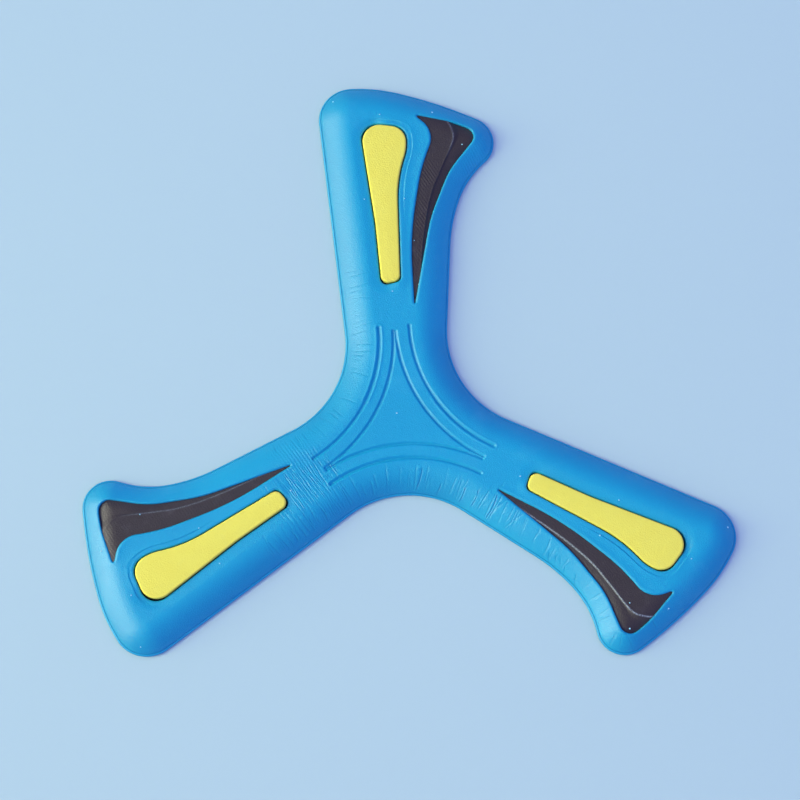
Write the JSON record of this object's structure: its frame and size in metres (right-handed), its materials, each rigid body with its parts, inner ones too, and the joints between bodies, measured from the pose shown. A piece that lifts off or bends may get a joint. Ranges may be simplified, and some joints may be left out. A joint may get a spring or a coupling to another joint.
{
  "type": "boomerang",
  "caption": "Soft laminated-foam throwing boomerang with equal curved blades round a grooved hub, padded blade faces and dark ridged flashes.",
  "frame": {"origin": "hub centre on the flat underside", "axes": "+Z out of the patterned face, +Y along the axis of the first blade"},
  "size_m": [0.2728, 0.2549, 0.0095],
  "materials": {
    "blue_skin_foam": "satin",
    "blue_base_foam": "satin",
    "black_core_foam": "matte",
    "black_flash_foam": "satin",
    "yellow_pad_foam": "matte"
  },
  "bodies": {
    "root": {"bottom_skin": "blue_base_foam", "core_sheet": "black_core_foam", "top_skin": "blue_skin_foam", "blade_pad_1": "yellow_pad_foam", "flash_inlay_1": "black_flash_foam", "blade_pad_2": "yellow_pad_foam", "flash_inlay_2": "black_flash_foam", "blade_pad_3": "yellow_pad_foam", "flash_inlay_3": "black_flash_foam"}
  },
  "joints": []
}
